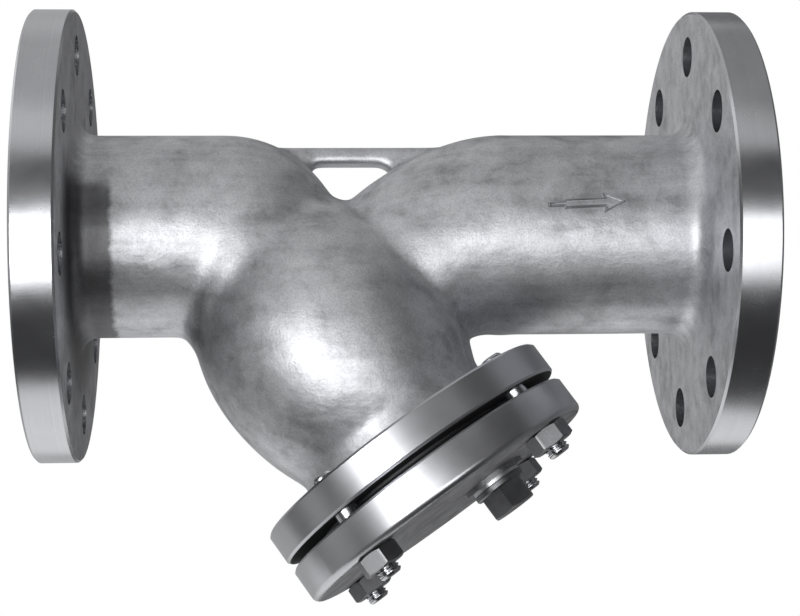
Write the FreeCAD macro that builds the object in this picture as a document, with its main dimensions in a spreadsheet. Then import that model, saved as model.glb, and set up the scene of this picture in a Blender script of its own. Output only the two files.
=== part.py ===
"""Flanged Y strainer, DN80, for a pipe.

The pipe runs along X, with the flow towards +X. The origin is the centre of the inlet's sealing
face. The branch that holds the screen leaves the pipe at branch_x and slants down and forward.
A place on the branch is given by s, the distance from the pipe's axis along the branch.
Lengths are in millimetres and angles in degrees.
"""
import FreeCAD, Part
import math
import os

import Sketcher
from FreeCAD import Placement, Rotation, Vector

doc = FreeCAD.newDocument("dirt_strainer")

# Driving dimensions: name, value and what it measures
SIZES = [
    ("face_to_face", 310, "inlet sealing face to outlet sealing face"),
    ("flange_radius", 100, "pipe flange rim"),
    ("flange_thickness", 19, "pipe flange with its raised face"),
    ("raised_face_radius", 69, "raised sealing face of a pipe flange"),
    ("raised_face_height", 1, "step of the raised sealing face"),
    ("flange_bolt_circle", 80, "radius of the pipe flange's bolt circle"),
    ("flange_hole_radius", 9, "pipe flange bolt hole"),
    ("flange_hole_count", 8, "pipe flange bolt holes"),
    ("flange_edge", 1, "chamfer of every machined rim"),
    ("bore_radius", 40, "bore of both tubes"),
    ("inlet_bore_length", 63, "straight bore from the inlet's sealing face"),
    ("waterway_step", 1, "cored waterway past the inlet bore, up to the bend's end"),
    ("casting_wall", 5, "wall of the casting"),
    ("hub_fillet", 8, "fillet from a tube to its pipe flange"),
    ("branch_x", 95.3, "where the branch axis meets the pipe axis"),
    ("branch_angle", 55.5, "angle from the pipe axis down to the branch axis"),
    ("bend_radius", 9, "centreline radius of the bend into the branch"),
    ("bend_setback", 5.8, "axis of the bend's end below the branch axis"),
    ("leg_end_s", 30, "where the bend's straight leg ends in the barrel"),
    ("barrel_start_s", 10, "where the barrel grows out of the bend"),
    ("barrel_start_radius", 40.5, "outside of the barrel at its start"),
    ("belly_radius", 56.3, "outside of the barrel at its widest"),
    ("belly_s", 60, "place of the widest section"),
    ("neck_s", 105, "place of the neck"),
    ("neck_fillet", 3, "fillet from the neck to the bonnet flange"),
    ("arm_start_x", 70, "first arm section, past branch_x"),
    ("arm_start_drop", 16, "first arm section, below the pipe axis"),
    ("arm_start_tilt", 41, "direction of the arm at its first section, up from the pipe axis"),
    ("arm_start_radius", 41, "first arm section"),
    ("arm_root_depth", 25, "how far the arm reaches back into the barrel"),
    ("arm_root_radius", 38, "arm section inside the barrel"),
    ("arm_throat_radius", 33, "waterway where the barrel opens into the arm"),
    ("arm_throat_depth", 12, "how far the waterway reaches back into the barrel"),
    ("arm_middle_x", 92, "second arm section, past branch_x"),
    ("arm_middle_drop", 4.3, "second arm section, below the pipe axis"),
    ("arm_middle_tilt", 21.5, "direction of the arm at its second section"),
    ("arm_middle_radius", 43.7, "second arm section"),
    ("arm_end_x", 115, "where the arm has become the straight tube, past branch_x"),
    ("rib_thickness", 10, "rib over the V, across the pipe"),
    ("rib_top", 41.4, "top of the rib above the pipe axis"),
    ("rib_depth", 8, "height of the rib's bar"),
    ("rib_gap_start", 28, "start of the gap under the rib, past branch_x"),
    ("rib_gap_length", 30, "gap under the rib"),
    ("seat_s", 16, "inlet side of the web that carries the screen's seat"),
    ("seat_thickness", 6, "web that carries the screen's seat"),
    ("seat_depth", 2.5, "counterbore for the screen's end"),
    ("bonnet_margin", 10, "rim of the bonnet flange and of the cover, past the stud circle"),
    ("bonnet_thickness", 14.5, "bonnet flange"),
    ("bonnet_face_s", 129, "face of the bonnet flange"),
    ("mouth_play", 2.45, "screen's end ring to the open mouth of the barrel"),
    ("seal_ring_margin", 1, "outside of the raised rings, past the gasket"),
    ("seal_ring_height", 1, "raised ring on bonnet flange and cover"),
    ("gasket_inset", 1, "inside of the gasket, past the open mouth"),
    ("gasket_width", 9, "cover gasket"),
    ("gasket_thickness", 2, "cover gasket"),
    ("cover_thickness", 16.5, "cover, without its raised ring"),
    ("cover_edge", 3, "rounding of the cover's outer edge"),
    ("recess_depth", 3, "recess in the cover for the screen's end"),
    ("stud_margin", 3.25, "raised ring to a stud's hole in the cover"),
    ("stud_radius", 5, "stud"),
    ("stud_fit", 0.05, "play of a stud in its thread"),
    ("stud_hole_play", 0.75, "play of a stud in the cover's hole"),
    ("stud_back", 2.5, "stud behind the bonnet flange"),
    ("stud_end", 4.2, "stud past its nut"),
    ("stud_point", 1, "chamfer of the stud's ends"),
    ("nut_flats", 17, "nut across its flats"),
    ("nut_height", 8, "nut"),
    ("nut_fit", 0.1, "play of a nut on its stud"),
    ("plug_offset", 23, "plug axis from the cover's centre, towards the pipe"),
    ("plug_boss_radius", 15, "boss under the plug"),
    ("plug_boss_height", 2, "boss under the plug"),
    ("plug_seal_radius", 11.5, "seal ring under the plug's collar"),
    ("plug_seal_thickness", 1.5, "seal ring under the plug's collar"),
    ("plug_thread_radius", 8.3, "thread of the plug"),
    ("plug_fit", 0.1, "play of the plug in its hole"),
    ("plug_thread_length", 16, "thread of the plug"),
    ("plug_collar_radius", 12, "collar of the plug"),
    ("plug_collar_height", 3, "collar of the plug"),
    ("plug_flats", 19, "hexagon of the plug across its flats"),
    ("plug_head_height", 10.5, "hexagon of the plug"),
    ("screen_radius", 36, "outside of the screen's sheet"),
    ("screen_wall", 1, "screen's sheet"),
    ("screen_hole_radius", 4, "perforation"),
    ("screen_holes_around", 12, "perforations in one row"),
    ("screen_rows", 8, "rows of perforations"),
    ("screen_ring_width", 2.5, "end ring of the screen, across its wall"),
    ("screen_ring_height", 6, "end ring of the screen"),
    ("screen_weld_gap", 0.05, "end ring to sheet"),
    ("screen_side_play", 0.5, "screen ring in its seat and recess"),
    ("screen_end_play", 0.3, "screen to seat floor and recess floor"),
]

sheet = doc.addObject("Spreadsheet::Sheet", "sizes")
for row, (alias, value, meaning) in enumerate(SIZES, start=1):
    sheet.set(f"A{row}", str(value))
    sheet.setAlias(f"A{row}", alias)
    sheet.set(f"B{row}", meaning)
doc.recompute()

# Lengths worked out from the driving dimensions
TUBE = "(sizes.bore_radius + sizes.casting_wall)"
WATERWAY = "(sizes.bore_radius + sizes.waterway_step)"
# The bend's own branch axis runs parallel to the screen's, set back from it
BEND_REACH = "(sizes.bend_radius * tan(sizes.branch_angle / 2))"
BEND_X = (f"(sizes.branch_x - sizes.bend_setback / sin(sizes.branch_angle)"
          f" - {BEND_REACH})")
BEND_END_S = f"({BEND_REACH} - sizes.bend_setback / tan(sizes.branch_angle))"
SEAT_TOP = "(sizes.seat_s + sizes.seat_thickness)"
SEAT_FLOOR = f"({SEAT_TOP} - sizes.seat_depth)"
BONNET_BACK = "(sizes.bonnet_face_s - sizes.bonnet_thickness)"
GASKET_FOOT = "(sizes.bonnet_face_s + sizes.seal_ring_height)"
GASKET_TOP = f"({GASKET_FOOT} + sizes.gasket_thickness)"
COVER_FACE = f"({GASKET_TOP} + sizes.seal_ring_height)"
COVER_OUTER = f"({COVER_FACE} + sizes.cover_thickness)"
RECESS_FLOOR = f"({GASKET_TOP} + sizes.recess_depth)"
NUT_TOP = f"({COVER_OUTER} + sizes.nut_height)"
PLUG_SEAL_FOOT = f"({COVER_OUTER} + sizes.plug_boss_height)"
PLUG_COLLAR_FOOT = f"({PLUG_SEAL_FOOT} + sizes.plug_seal_thickness)"
RING_INNER = "(sizes.screen_radius + sizes.screen_weld_gap)"
RING_OUTER = f"({RING_INNER} + sizes.screen_ring_width)"
RECESS_RADIUS = f"({RING_OUTER} + sizes.screen_side_play)"
SCREEN_FOOT = f"({SEAT_FLOOR} + sizes.screen_end_play)"
SCREEN_TOP = f"({RECESS_FLOOR} - sizes.screen_end_play)"
SCREEN_INNER = "(sizes.screen_radius - sizes.screen_wall)"
PLUG_HOLE = "(sizes.plug_thread_radius + sizes.plug_fit)"
STUD_HOLE_COVER = "(sizes.stud_radius + sizes.stud_hole_play)"
# From the screen outwards: mouth, neck, gasket, raised ring, studs, rim
MOUTH = f"({RING_OUTER} + sizes.mouth_play)"
NECK = f"({MOUTH} + sizes.casting_wall)"
GASKET_INNER = f"({MOUTH} + sizes.gasket_inset)"
GASKET_OUTER = f"({GASKET_INNER} + sizes.gasket_width)"
SEAL_RING = f"({GASKET_OUTER} + sizes.seal_ring_margin)"
STUD_CIRCLE = f"({SEAL_RING} + sizes.stud_margin + {STUD_HOLE_COVER})"
BONNET_RIM = f"({STUD_CIRCLE} + sizes.bonnet_margin)"

COVER_STUDS = 4
FIRST_STUD_ANGLE = 45


def number(expression):
    """The present value of an expression on the sheet."""
    result = sheet.evalExpression(str(expression))
    return float(getattr(result, "Value", result))


def new_body(name):
    body = doc.addObject("PartDesign::Body", name)
    body.Label = name
    return body


def origin_plane(body, role):
    return next(o for o in body.Origin.OriginFeatures if o.Role == role)


def new_sketch(body, name, role="XY_Plane"):
    sketch = body.newObject("Sketcher::SketchObject", name)
    sketch.AttachmentSupport = (origin_plane(body, role), [""])
    sketch.MapMode = "FlatFace"
    return sketch


def lift(sketch, height):
    """Move a sketch along its own normal."""
    sketch.setExpression("AttachmentOffset.Base.z", str(height))


def branch_section(body, name):
    """A sketch in the plane of symmetry, with s along its X and the height over the branch as Y."""
    sketch = new_sketch(body, name, "XZ_Plane")
    sketch.AttachmentOffset = Placement(Vector(), Rotation(Vector(0, 0, -1), 1))
    sketch.setExpression("AttachmentOffset.Base.x", "sizes.branch_x")
    sketch.setExpression("AttachmentOffset.Rotation.Angle", "sizes.branch_angle")
    return sketch


def tilted_section(body, name, x, drop, tilt):
    """A sketch square to the plane of symmetry, whose normal points along +X, tilted up."""
    sketch = new_sketch(body, name, "YZ_Plane")
    sketch.AttachmentOffset = Placement(Vector(), Rotation(Vector(-1, 0, 0), 1))
    sketch.setExpression("AttachmentOffset.Base.y", f"-({drop})")
    sketch.setExpression("AttachmentOffset.Base.z", f"sizes.branch_x + {x}")
    sketch.setExpression("AttachmentOffset.Rotation.Angle", str(tilt))
    return sketch


def bind(sketch, kind, where, expression):
    """Add a dimension and tie it to the sheet."""
    index = sketch.addConstraint(Sketcher.Constraint(kind, *where, number(expression)))
    sketch.setExpression(f"Constraints[{index}]", str(expression))


def bind_point(sketch, geometry, end, x, y):
    bind(sketch, "DistanceX", (-1, 1, geometry, end), x)
    bind(sketch, "DistanceY", (-1, 1, geometry, end), y)


def arc_between(start, end, radius, turn):
    """The arc from start to end: turn is 1 for counter-clockwise, -1 for clockwise."""
    chord = end - start
    rise = math.sqrt(max(radius**2 - (chord.Length / 2) ** 2, 0))
    side = Vector(-chord.y, chord.x, 0).normalize() * rise * turn
    centre = start + chord * 0.5 + side
    first, last = (start, end) if turn > 0 else (end, start)
    angles = [math.atan2(p.y - centre.y, p.x - centre.x) for p in (first, last)]
    return Part.ArcOfCircle(Part.Circle(centre, Vector(0, 0, 1), radius), *angles)


def outline(sketch, corners):
    """Draw a closed outline. A corner is (x, y), or (x, y, radius, turn) where an arc leads to it."""
    points = [Vector(number(c[0]), number(c[1]), 0) for c in corners]
    ends = []
    for i, corner in enumerate(corners):
        start, end = points[i - 1], points[i]
        if len(corner) == 2:
            geometry = sketch.addGeometry(Part.LineSegment(start, end))
            ends.append((geometry, 1, 2))
            continue
        radius, turn = corner[2:]
        geometry = sketch.addGeometry(arc_between(start, end, number(radius), turn))
        bind(sketch, "Radius", (geometry,), radius)
        ends.append((geometry, 1, 2) if turn > 0 else (geometry, 2, 1))
    for i, corner in enumerate(corners):
        geometry, _, finish = ends[i]
        following, begin, _ = ends[(i + 1) % len(corners)]
        join = (geometry, finish, following, begin)
        sketch.addConstraint(Sketcher.Constraint("Coincident", *join))
        bind_point(sketch, geometry, finish, corner[0], corner[1])
    return sketch


def circle(sketch, radius, x="0", y="0"):
    centre = Vector(number(x), number(y), 0)
    geometry = sketch.addGeometry(Part.Circle(centre, Vector(0, 0, 1), number(radius)))
    bind(sketch, "Radius", (geometry,), radius)
    bind_point(sketch, geometry, 3, x, y)
    return sketch


def hexagon(sketch, flats):
    """A hexagon with two flats square to the sketch's X."""
    corner = f"({flats} / 2 / cos(30))"
    turns = [30 + 60 * i for i in range(6)]
    outline(sketch, [(f"{corner} * cos({t})", f"{corner} * sin({t})") for t in turns])
    return sketch


def extrude(body, name, sketch, length, cut=False, reverse=False, both_sides=False):
    kind = "PartDesign::Pocket" if cut else "PartDesign::Pad"
    feature = body.newObject(kind, name)
    feature.Profile = sketch
    feature.setExpression("Length", str(length))
    feature.Reversed = reverse
    feature.Midplane = both_sides
    return feature


def revolve(body, name, sketch, cut=False, axis="H_Axis", angle="360", reverse=False):
    kind = "PartDesign::Groove" if cut else "PartDesign::Revolution"
    feature = body.newObject(kind, name)
    feature.Profile = sketch
    feature.ReferenceAxis = (sketch, [axis])
    feature.setExpression("Angle", str(angle))
    feature.Reversed = reverse
    return feature


def loft(body, name, sections, cut=False):
    kind = "PartDesign::SubtractiveLoft" if cut else "PartDesign::AdditiveLoft"
    feature = body.newObject(kind, name)
    feature.Profile = sections[0]
    feature.Sections = [(section, [""]) for section in sections[1:]]
    return feature


def repeat_around(body, name, feature, axis, count):
    """Repeat a feature around an axis of the body's origin."""
    pattern = body.newObject("PartDesign::PolarPattern", name)
    pattern.Originals = [feature]
    pattern.Axis = (axis, [""])
    pattern.Angle = 360
    pattern.setExpression("Occurrences", str(count))
    body.Tip = pattern
    return pattern


def stand_on_branch(body, s, across="0", above="0"):
    """Turn a body's Z along the branch and put its origin at s, moved across and above the axis."""
    run, fall = "cos(sizes.branch_angle)", "sin(sizes.branch_angle)"
    body.Placement = Placement(Vector(), Rotation(Vector(0, 1, 0), 1))
    body.setExpression("Placement.Rotation.Angle", "90 + sizes.branch_angle")
    body.setExpression("Placement.Base.x", f"sizes.branch_x + {run} * {s} + {fall} * {above}")
    body.setExpression("Placement.Base.y", str(across))
    body.setExpression("Placement.Base.z", f"{run} * {above} - {fall} * {s}")


def add_pipe_flanges(body):
    """Both pipe flanges with raised face, chamfered rim, hub fillet and straight tube."""
    rim, edge = "sizes.flange_radius", "sizes.flange_edge"
    step, back = "sizes.raised_face_height", "sizes.flange_thickness"
    outlet_end = "(sizes.branch_x + sizes.arm_end_x)"
    for side, tube_end in (("inlet", BEND_X), ("outlet", outlet_end)):
        # x counts from the sealing face towards the middle of the strainer
        def x(distance):
            return distance if side == "inlet" else f"(sizes.face_to_face - ({distance}))"

        turn = 1 if side == "inlet" else -1
        section = new_sketch(body, f"{side}_tube_section", "XZ_Plane")
        outline(section, [
            (x("0"), "0"),
            (x("0"), "sizes.raised_face_radius"),
            (x(step), "sizes.raised_face_radius"),
            (x(step), f"{rim} - {edge}"),
            (x(f"{step} + {edge}"), rim),
            (x(f"{back} - {edge}"), rim),
            (x(back), f"{rim} - {edge}"),
            (x(back), f"{TUBE} + sizes.hub_fillet"),
            (x(f"{back} + sizes.hub_fillet"), TUBE, "sizes.hub_fillet", turn),
            (tube_end, TUBE),
            (tube_end, "0"),
        ])
        revolve(body, f"{side}_tube", section)


def add_bend(body, name, radius, cut=False):
    """The shoulder over the branch: the tube's round section, cut off at the bend's own axis."""
    section = new_sketch(body, f"{name}_section", "YZ_Plane")
    lift(section, BEND_X)
    half = f"sqrt(({radius})^2 - sizes.bend_radius^2)"
    low = "-sizes.bend_radius"
    right = Vector(number(half), number(low), 0)
    left = Vector(-right.x, right.y, 0)
    chord = section.addGeometry(Part.LineSegment(left, right))
    start = math.atan2(right.y, right.x)
    rim = Part.Circle(Vector(), Vector(0, 0, 1), number(radius))
    arc = section.addGeometry(Part.ArcOfCircle(rim, start, math.pi - start))
    section.addConstraint(Sketcher.Constraint("Coincident", chord, 2, arc, 1))
    section.addConstraint(Sketcher.Constraint("Coincident", arc, 2, chord, 1))
    section.addConstraint(Sketcher.Constraint("Coincident", arc, 3, -1, 1))
    section.addConstraint(Sketcher.Constraint("Horizontal", chord))
    bind(section, "Radius", (arc,), radius)
    bind(section, "DistanceY", (-1, 1, chord, 2), low)
    revolve(body, name, section, cut, "Edge1", "sizes.branch_angle")


def square_to_branch(body, name, s):
    """A sketch square to the branch at s, with the height over the branch as its Y."""
    sketch = new_sketch(body, name, "YZ_Plane")
    sketch.AttachmentOffset = Placement(Vector(), Rotation(Vector(1, 0, 0), 1))
    sketch.setExpression("AttachmentOffset.Rotation.Angle", "sizes.branch_angle")
    sketch.setExpression("AttachmentOffset.Base.y", f"-sin(sizes.branch_angle) * {s}")
    sketch.setExpression(
        "AttachmentOffset.Base.z", f"sizes.branch_x + cos(sizes.branch_angle) * {s}"
    )
    return sketch


def add_leg(body, name, radius, end, cut=False):
    """The straight leg from the end of the bend towards the barrel."""
    section = square_to_branch(body, f"{name}_section", BEND_END_S)
    circle(section, radius, "0", "-sizes.bend_setback")
    extrude(body, name, section, f"{end} - {BEND_END_S}", cut, reverse=cut)


def barrel_side(offset):
    """The barrel's curved side as two arcs that meet at the belly, offset inwards by a wall."""
    belly = f"(sizes.belly_radius - {offset})"
    neck = f"({NECK} - {offset})"
    tail = "(sizes.neck_s - sizes.belly_s)"
    fall = f"(sizes.belly_radius - {NECK})"
    tail_radius = f"(({tail}^2 + {fall}^2) / 2 / {fall} - {offset})"
    head = "(sizes.belly_s - sizes.barrel_start_s)"
    swell = "(sizes.belly_radius - sizes.barrel_start_radius)"
    head_radius = f"(({head}^2 + {swell}^2) / 2 / {swell} - {offset})"
    return belly, neck, head_radius, tail_radius


def add_barrel(body):
    """The barrel and the bonnet flange with its raised seal ring."""
    belly, neck, head_radius, tail_radius = barrel_side("0")
    rim, edge = BONNET_RIM, "sizes.flange_edge"
    face, fillet = "sizes.bonnet_face_s", "sizes.neck_fillet"
    section = branch_section(body, "barrel_section")
    outline(section, [
        ("sizes.barrel_start_s", "0"),
        ("sizes.barrel_start_s", "sizes.barrel_start_radius"),
        ("sizes.belly_s", belly, head_radius, -1),
        ("sizes.neck_s", neck, tail_radius, -1),
        (f"{BONNET_BACK} - {fillet}", neck),
        (BONNET_BACK, f"{neck} + {fillet}", fillet, 1),
        (BONNET_BACK, f"{rim} - {edge}"),
        (f"{BONNET_BACK} + {edge}", rim),
        (f"{face} - {edge}", rim),
        (face, f"{rim} - {edge}"),
        (face, SEAL_RING),
        (GASKET_FOOT, SEAL_RING),
        (GASKET_FOOT, "0"),
    ])
    revolve(body, "barrel", section)


def arm_circle(body, name, x, drop, tilt, radius):
    return circle(tilted_section(body, name, x, drop, tilt), radius)


def add_arm(body):
    """The outlet arm, which rises from the barrel and turns into the straight outlet tube."""
    x, drop = "sizes.arm_start_x", "sizes.arm_start_drop"
    tilt, back = "sizes.arm_start_tilt", "sizes.arm_root_depth"
    root_x = f"({x} - {back} * cos({tilt}))"
    root_drop = f"({drop} + {back} * sin({tilt}))"
    middle = ("sizes.arm_middle_x", "sizes.arm_middle_drop", "sizes.arm_middle_tilt")
    end_x = "sizes.arm_end_x"
    loft(body, "outlet_arm", [
        arm_circle(body, "arm_root", root_x, root_drop, tilt, "sizes.arm_root_radius"),
        arm_circle(body, "arm_start", x, drop, tilt, "sizes.arm_start_radius"),
        arm_circle(body, "arm_middle", *middle, "sizes.arm_middle_radius"),
        arm_circle(body, "arm_end", end_x, "0", "0", TUBE),
    ])


def add_rib(body):
    """The bar over the V, with rounded-off corners where it runs into shoulder and arm."""
    top, bottom = "sizes.rib_top", "(sizes.rib_top - sizes.rib_depth)"
    start = "(sizes.branch_x + sizes.rib_gap_start)"
    end = f"({start} + sizes.rib_gap_length)"
    depth = "sizes.rib_depth"
    inlet_root = f"({start} - sizes.rib_depth * 3)"
    outlet_root = f"({end} + sizes.bore_radius)"
    section = new_sketch(body, "rib_section", "XZ_Plane")
    outline(section, [
        (inlet_root, top),
        (inlet_root, f"{bottom} - {depth}"),
        (f"{start} - {depth} / 3", f"{bottom} - {depth} * 0.7"),
        (start, bottom),
        (end, bottom),
        (f"{end} + {depth} / 2", f"{bottom} - {depth} / 3"),
        (f"{end} + {depth} * 0.8", f"{bottom} - {depth}"),
        (outlet_root, f"{bottom} - {depth}"),
        (outlet_root, top),
    ])
    extrude(body, "rib", section, "sizes.rib_thickness", both_sides=True)


def cut_tubes(body):
    """The straight bores from both sealing faces; the inlet's widens into the waterway."""
    section = new_sketch(body, "inlet_bore_section", "XZ_Plane")
    outline(section, [
        ("0", "0"),
        (BEND_X, "0"),
        (BEND_X, WATERWAY),
        ("sizes.inlet_bore_length", WATERWAY),
        ("sizes.inlet_bore_length", "sizes.bore_radius"),
        ("0", "sizes.bore_radius"),
    ])
    revolve(body, "inlet_bore", section, cut=True)
    outlet_start = "(sizes.branch_x + sizes.arm_end_x)"
    section = new_sketch(body, "outlet_bore_section", "XZ_Plane")
    outline(section, [
        (outlet_start, "0"),
        ("sizes.face_to_face", "0"),
        ("sizes.face_to_face", "sizes.bore_radius"),
        (outlet_start, "sizes.bore_radius"),
    ])
    revolve(body, "outlet_bore", section, cut=True)


def cut_screen_chamber(body):
    """The room round the screen, from the seat web to the open mouth."""
    belly, neck, head_radius, tail_radius = barrel_side("sizes.casting_wall")
    head = "(sizes.belly_s - " + SEAT_TOP + ")"
    first = f"({belly} - ({head_radius} - sqrt({head_radius}^2 - {head}^2)))"
    section = branch_section(body, "chamber_section")
    outline(section, [
        (SEAT_TOP, "0"),
        (SEAT_TOP, first),
        ("sizes.belly_s", belly, head_radius, -1),
        ("sizes.neck_s", neck, tail_radius, -1),
        (GASKET_FOOT, neck),
        (GASKET_FOOT, "0"),
    ])
    revolve(body, "chamber", section, cut=True)


def cut_arm(body):
    """The waterway from the chamber into the outlet tube."""
    x, drop = "sizes.arm_start_x", "sizes.arm_start_drop"
    tilt, back = "sizes.arm_start_tilt", "sizes.arm_throat_depth"
    root_x = f"({x} - {back} * cos({tilt}))"
    root_drop = f"({drop} + {back} * sin({tilt}))"
    throat = "sizes.arm_throat_radius"
    middle = ("sizes.arm_middle_x", "sizes.arm_middle_drop", "sizes.arm_middle_tilt")
    middle_radius = "(sizes.arm_middle_radius - sizes.casting_wall)"
    end_x, bore = "sizes.arm_end_x", "sizes.bore_radius"
    loft(body, "outlet_waterway", [
        arm_circle(body, "throat_root", root_x, root_drop, tilt, f"({throat} * 0.9)"),
        arm_circle(body, "throat", x, drop, tilt, throat),
        arm_circle(body, "waterway_middle", *middle, middle_radius),
        arm_circle(body, "waterway_end", end_x, "0", "0", bore),
    ], cut=True)


def add_seat(body):
    """The web across the waterway, its opening and the counterbore that the screen stands in."""
    web = square_to_branch(body, "seat_web_section", "sizes.seat_s")
    circle(web, f"({TUBE} - sizes.casting_wall / 4)", "0", "-sizes.bend_setback / 2")
    extrude(body, "seat_web", web, "sizes.seat_thickness")
    before = "(sizes.seat_s - sizes.seat_depth)"
    after = f"({SEAT_TOP} + sizes.seat_depth)"
    opening = branch_section(body, "seat_opening_section")
    outline(opening, [
        (before, "0"),
        (after, "0"),
        (after, RECESS_RADIUS),
        (SEAT_FLOOR, RECESS_RADIUS),
        (SEAT_FLOOR, SCREEN_INNER),
        (before, SCREEN_INNER),
    ])
    revolve(body, "seat_opening", opening, cut=True)


def cut_flange_holes(body):
    """Bolt holes of both pipe flanges, straddling the plane of symmetry."""
    half_step = "(180 / sizes.flange_hole_count)"
    axis = origin_plane(body, "X_Axis")
    for side, plane_x in (("inlet", "0"), ("outlet", "sizes.face_to_face")):
        sketch = new_sketch(body, f"{side}_hole_section", "YZ_Plane")
        lift(sketch, plane_x)
        across = f"sizes.flange_bolt_circle * sin({half_step})"
        up = f"sizes.flange_bolt_circle * cos({half_step})"
        circle(sketch, "sizes.flange_hole_radius", across, up)
        hole = extrude(body, f"{side}_hole", sketch, "sizes.flange_thickness", cut=True,
                       reverse=side == "inlet")
        repeat_around(body, f"{side}_holes", hole, axis, "sizes.flange_hole_count")


def cut_stud_threads(body):
    """The tapped holes of the bonnet flange."""
    sketch = square_to_branch(body, "stud_thread_section", "sizes.bonnet_face_s")
    for i in range(COVER_STUDS):
        turn = FIRST_STUD_ANGLE + 360 / COVER_STUDS * i
        circle(sketch, "(sizes.stud_radius + sizes.stud_fit)",
               f"{STUD_CIRCLE} * cos({turn})", f"{STUD_CIRCLE} * sin({turn})")
    extrude(body, "stud_threads", sketch, "sizes.bonnet_thickness", cut=True)


def make_strainer_body():
    body = new_body("strainer_body")
    add_pipe_flanges(body)
    add_bend(body, "shoulder", TUBE)
    add_leg(body, "bend_leg", TUBE, "sizes.leg_end_s")
    add_barrel(body)
    add_arm(body)
    add_rib(body)
    cut_tubes(body)
    add_bend(body, "bend_waterway", WATERWAY, cut=True)
    add_leg(body, "leg_waterway", WATERWAY, "sizes.seat_s", cut=True)
    cut_screen_chamber(body)
    cut_arm(body)
    add_seat(body)
    cut_flange_holes(body)
    cut_stud_threads(body)


def make_cover():
    body = new_body("bonnet_cover")
    ring, rim = "sizes.seal_ring_height", BONNET_RIM
    edge, rounding = "sizes.flange_edge", "sizes.cover_edge"
    outer = f"({ring} + sizes.cover_thickness)"
    # The section's X is the radius and its Y the height over the gasket
    section = new_sketch(body, "cover_section", "XZ_Plane")
    outline(section, [
        ("0", "sizes.recess_depth"),
        (RECESS_RADIUS, "sizes.recess_depth"),
        (RECESS_RADIUS, "0"),
        (SEAL_RING, "0"),
        (SEAL_RING, ring),
        (f"{rim} - {edge}", ring),
        (rim, f"{ring} + {edge}"),
        (rim, f"{outer} - {rounding}"),
        (f"{rim} - {rounding}", outer, rounding, 1),
        ("0", outer),
    ])
    revolve(body, "cover", section, axis="V_Axis")

    offset = "-sizes.plug_offset"
    boss = circle(new_sketch(body, "plug_boss_section"), "sizes.plug_boss_radius", offset)
    lift(boss, outer)
    extrude(body, "plug_boss", boss, "sizes.plug_boss_height")
    plug_hole = circle(new_sketch(body, "plug_hole_section"), PLUG_HOLE, offset)
    extrude(body, "plug_hole", plug_hole, f"{outer} + sizes.plug_boss_height", cut=True,
            reverse=True)

    studs = new_sketch(body, "stud_hole_section")
    for i in range(COVER_STUDS):
        turn = FIRST_STUD_ANGLE + 360 / COVER_STUDS * i
        circle(studs, STUD_HOLE_COVER,
               f"{STUD_CIRCLE} * cos({turn})", f"{STUD_CIRCLE} * sin({turn})")
    extrude(body, "stud_holes", studs, outer, cut=True, reverse=True)
    stand_on_branch(body, GASKET_TOP)


def make_ring(name, inner, outer, height, s, above="0"):
    """A flat ring square to the branch."""
    body = new_body(name)
    section = new_sketch(body, f"{name}_section")
    circle(section, outer)
    circle(section, inner)
    extrude(body, f"{name}_ring", section, height)
    stand_on_branch(body, s, above=above)


def stud_place(i):
    turn = FIRST_STUD_ANGLE + 360 / COVER_STUDS * i
    return f"{STUD_CIRCLE} * cos({turn})", f"({STUD_CIRCLE} * sin({turn}))"


def make_stud(i):
    body = new_body(f"cover_stud_{i + 1}")
    start = f"({BONNET_BACK} - sizes.stud_back)"
    length = f"({NUT_TOP} + sizes.stud_end - {start})"
    radius, point = "sizes.stud_radius", "sizes.stud_point"
    section = new_sketch(body, f"stud_section_{i + 1}", "XZ_Plane")
    outline(section, [
        ("0", "0"),
        (f"{radius} - {point}", "0"),
        (radius, point),
        (radius, f"{length} - {point}"),
        (f"{radius} - {point}", length),
        ("0", length),
    ])
    revolve(body, f"stud_{i + 1}", section, axis="V_Axis")
    stand_on_branch(body, start, *stud_place(i))


def bevel_hexagon(body, name, flats, foot, top, lower=False):
    """Take the corners off a hexagon's end, as a turned 30 degree bevel does."""
    inside = f"({flats} / 2)"
    outside = f"({flats} * 0.7)"
    drop = f"(({outside} - {inside}) * tan(30))"
    section = new_sketch(body, f"{name}_section", "XZ_Plane")
    outline(section, [(inside, top), (outside, top), (outside, f"{top} - {drop}")])
    revolve(body, name, section, cut=True, axis="V_Axis")
    if lower:
        under = new_sketch(body, f"{name}_under_section", "XZ_Plane")
        outline(under, [(inside, foot), (outside, foot), (outside, f"{foot} + {drop}")])
        revolve(body, f"{name}_under", under, cut=True, axis="V_Axis")


def make_nut(i):
    body = new_body(f"cover_nut_{i + 1}")
    flats = hexagon(new_sketch(body, f"nut_flats_{i + 1}"), "sizes.nut_flats")
    extrude(body, f"nut_{i + 1}", flats, "sizes.nut_height")
    bevel_hexagon(body, f"nut_bevel_{i + 1}", "sizes.nut_flats", "0", "sizes.nut_height", True)
    hole = circle(new_sketch(body, f"nut_hole_section_{i + 1}"),
                  "(sizes.stud_radius + sizes.nut_fit)")
    extrude(body, f"nut_hole_{i + 1}", hole, "sizes.nut_height", cut=True, reverse=True)
    stand_on_branch(body, COVER_OUTER, *stud_place(i))


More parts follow.
